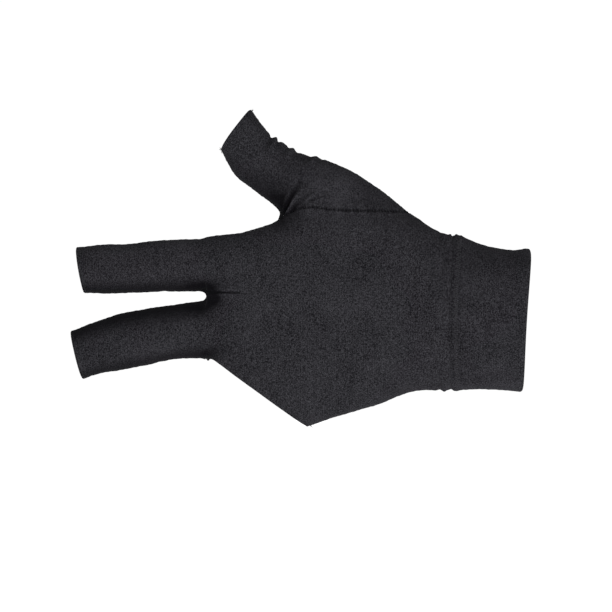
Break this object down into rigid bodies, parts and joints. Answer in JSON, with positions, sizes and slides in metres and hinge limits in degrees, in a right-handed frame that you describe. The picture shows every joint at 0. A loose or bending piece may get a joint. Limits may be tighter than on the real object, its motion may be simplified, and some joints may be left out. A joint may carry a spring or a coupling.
{
  "type": "billiard glove",
  "caption": "Open-fingered stretch glove for the left hand, shaped as worn: wrist cuff, hand, thumb, index and middle stalls, and a slanted open edge across the knuckles.",
  "frame": {"origin": "centre of the open wrist end, where the wrist goes in", "axes": "+X runs out of the glove along the forearm, so the fingers point along -X; +Z is the thumb side; the back of the hand faces -Y and the palm faces +Y"},
  "size_m": [0.1985, 0.0435, 0.1371],
  "materials": {
    "knit": "dark stretch knit with a fine grain and a faint sheen",
    "cuff_knit": "the same dark stretch knit, folded double",
    "hem_knit": "turned and stitched edge of the dark stretch knit"
  },
  "bodies": {
    "root": {"back_panel": "knit", "palm_panel": "knit", "thumb_stall": "knit", "wrist_cuff": "cuff_knit", "index_hem": "hem_knit", "middle_hem": "hem_knit", "thumb_hem": "hem_knit", "knuckle_hem": "hem_knit"}
  },
  "joints": []
}
